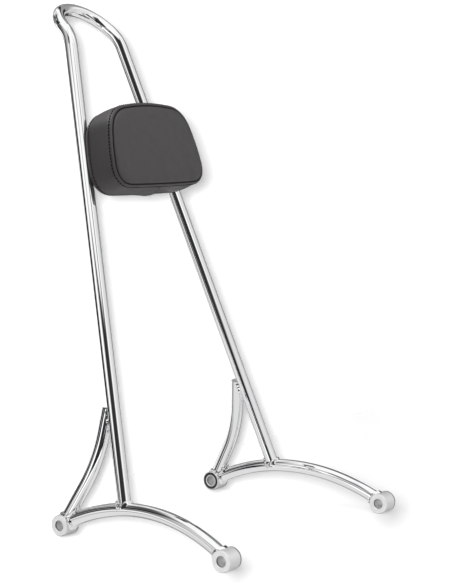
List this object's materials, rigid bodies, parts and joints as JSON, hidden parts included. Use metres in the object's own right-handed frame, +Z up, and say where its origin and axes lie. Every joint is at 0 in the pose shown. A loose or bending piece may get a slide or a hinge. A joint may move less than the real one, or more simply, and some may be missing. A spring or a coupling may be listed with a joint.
{
  "type": "sissy bar",
  "caption": "Tall chrome motorcycle sissy bar bent from round bar, on arched gusseted side legs with bolt bungs and a small black vinyl backrest pad.",
  "frame": {"origin": "middle of the footprint's box, on the plane on which the four bolt bungs stand", "axes": "+Z up, -Y to the front of the motorcycle, +X to its left side; the bar is the same on both sides of X = 0"},
  "size_m": [0.291, 0.3163, 0.5204],
  "materials": {
    "chrome": "bright chrome plate over polished steel bar",
    "satin_chrome": "chrome plate over turned steel, a little duller than the bars",
    "weld": "chrome plate over rippled weld beads",
    "vinyl": "black fine-grained vinyl, satin",
    "foam": "open-cell foam",
    "board": "dark plywood",
    "zinc": "zinc-plated steel",
    "black_steel": "black oxide steel"
  },
  "bodies": {
    "root": {"hoop": "chrome", "left_arch": "chrome", "right_arch": "chrome", "left_gusset": "chrome", "right_gusset": "chrome", "left_rear_bung": "satin_chrome", "left_front_bung": "satin_chrome", "right_rear_bung": "satin_chrome", "right_front_bung": "satin_chrome", "left_foot_weld": "weld", "right_foot_weld": "weld", "left_gusset_weld": "weld", "right_gusset_weld": "weld", "left_rear_weld": "weld", "right_rear_weld": "weld", "left_front_weld": "weld", "right_front_weld": "weld", "left_pad_tabs": "chrome", "right_pad_tabs": "chrome", "left_tab_welds": "weld", "right_tab_welds": "weld", "pad_front_panel": "vinyl", "pad_boxing": "vinyl", "pad_back_panel": "vinyl", "pad_foam": "foam", "pad_board": "board", "pad_tee_nuts": "zinc", "pad_screws": "black_steel", "pad_lock_washers": "zinc"}
  },
  "joints": []
}
